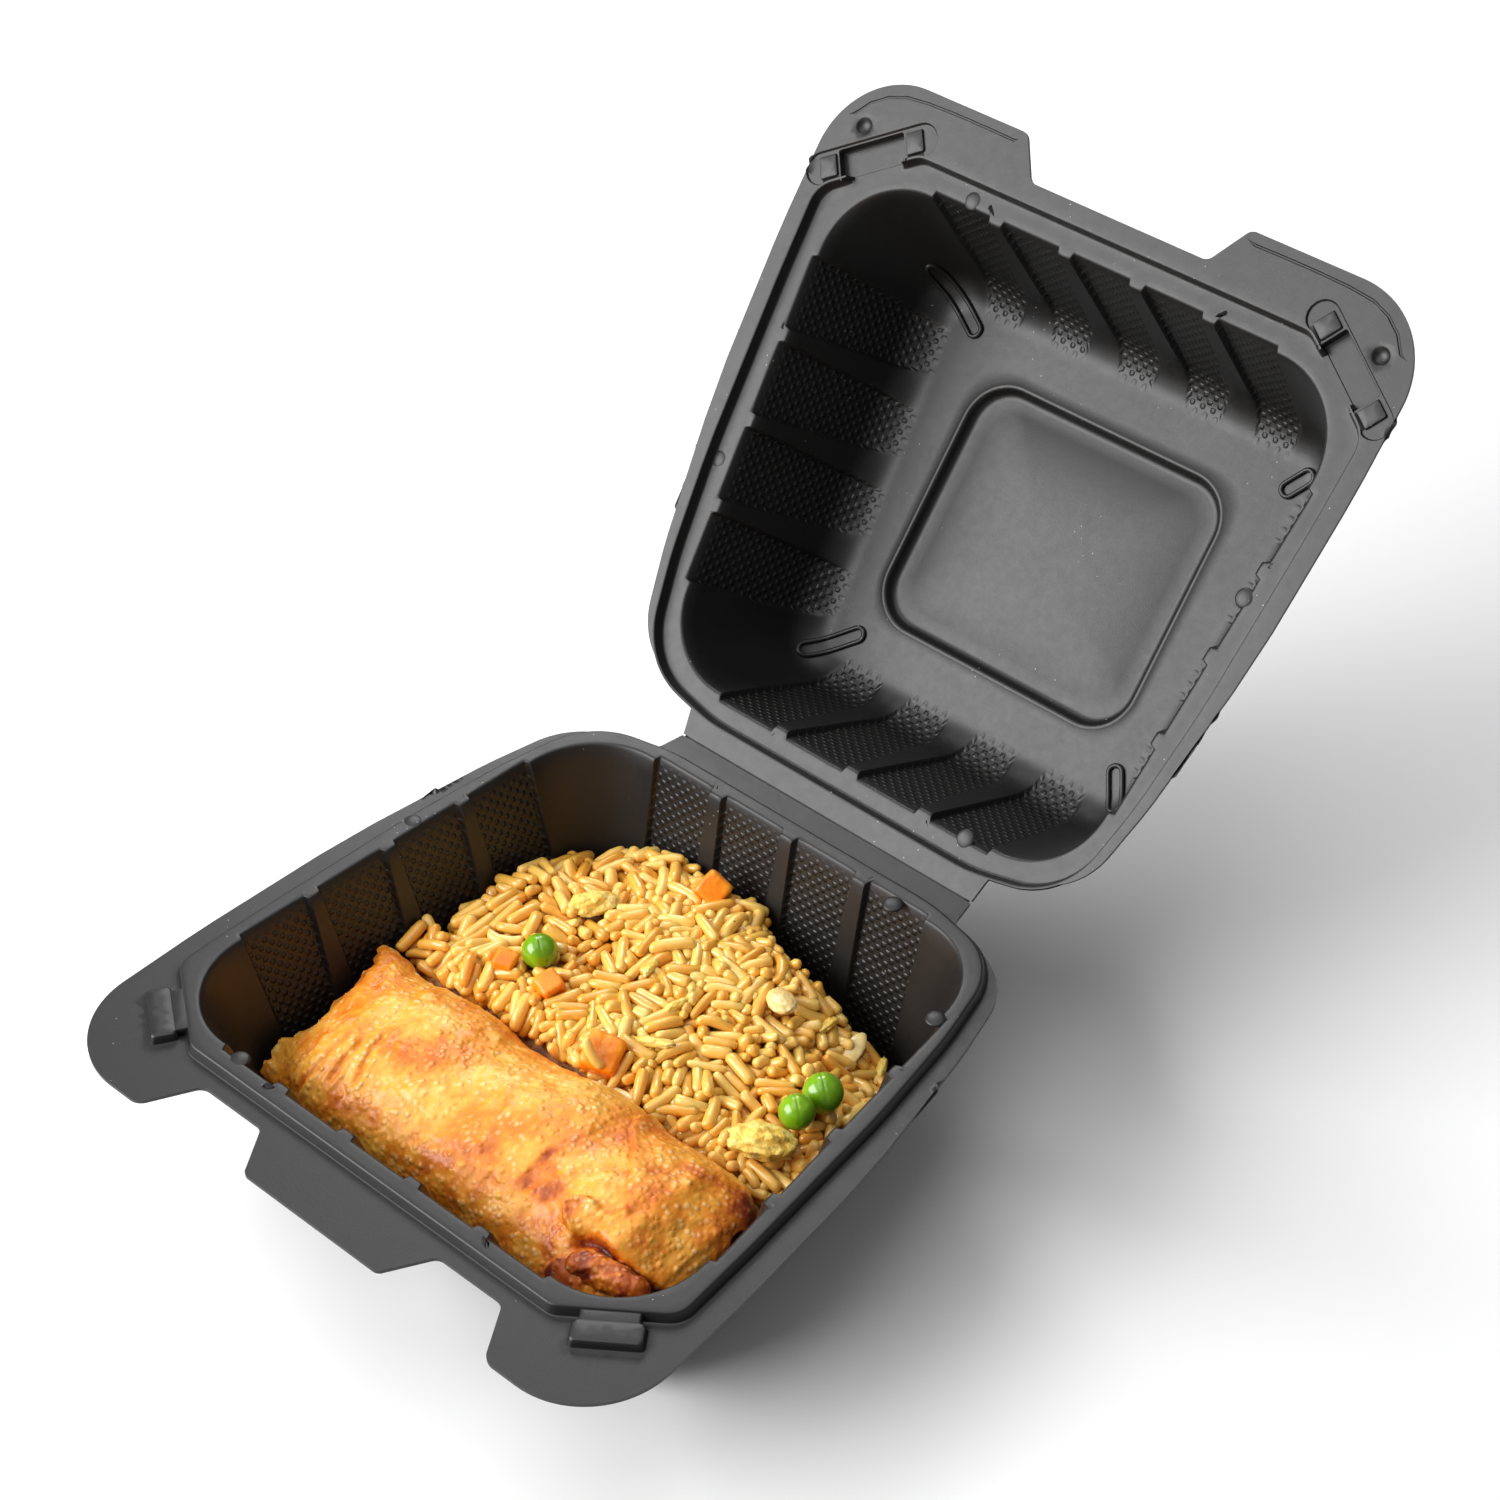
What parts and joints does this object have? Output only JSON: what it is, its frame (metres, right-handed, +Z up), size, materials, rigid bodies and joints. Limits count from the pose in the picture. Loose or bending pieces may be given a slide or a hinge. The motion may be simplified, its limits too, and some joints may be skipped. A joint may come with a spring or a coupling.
{
  "type": "takeaway meal container",
  "caption": "Hinged black takeaway tray and lid, standing open, filled with a fried egg roll and vegetable fried rice.",
  "frame": {"origin": "middle of the flat foot panel that the tray stands on", "axes": "+X along the hinge, +Y from the front tab to the hinge, +Z up; rest pose is the open lid of the picture"},
  "size_m": [0.1516, 0.2535, 0.1467],
  "materials": {
    "container_plastic": "fine satin, black mineral-filled polypropylene",
    "fried_wrapper": "blistered fried dough, golden with brown edges",
    "cooked_rice": "moist satin grains, cream to pale yellow",
    "green_pea": "moist bright green skin",
    "cooked_carrot": "moist orange flesh",
    "scrambled_egg": "soft yellow curd",
    "cooked_onion": "moist pale slice"
  },
  "bodies": {
    "tray": {"tray_shell": "container_plastic", "egg_roll": "fried_wrapper", "rice_heap": "cooked_rice", "pea_1": "green_pea", "pea_2": "green_pea", "pea_3": "green_pea", "carrot_1": "cooked_carrot", "carrot_2": "cooked_carrot", "carrot_3": "cooked_carrot", "carrot_4": "cooked_carrot", "egg_1": "scrambled_egg", "egg_2": "scrambled_egg", "onion_1": "cooked_onion"},
    "lid": {"lid_shell": "container_plastic"}
  },
  "joints": [
    {"name": "lid_hinge", "type": "hinge", "parent": "tray", "child": "lid", "pos_m": [0, 0.0694, 0.04105], "axis": [1, 0, 0], "range_deg": [-46.2, 133.8]}
  ]
}
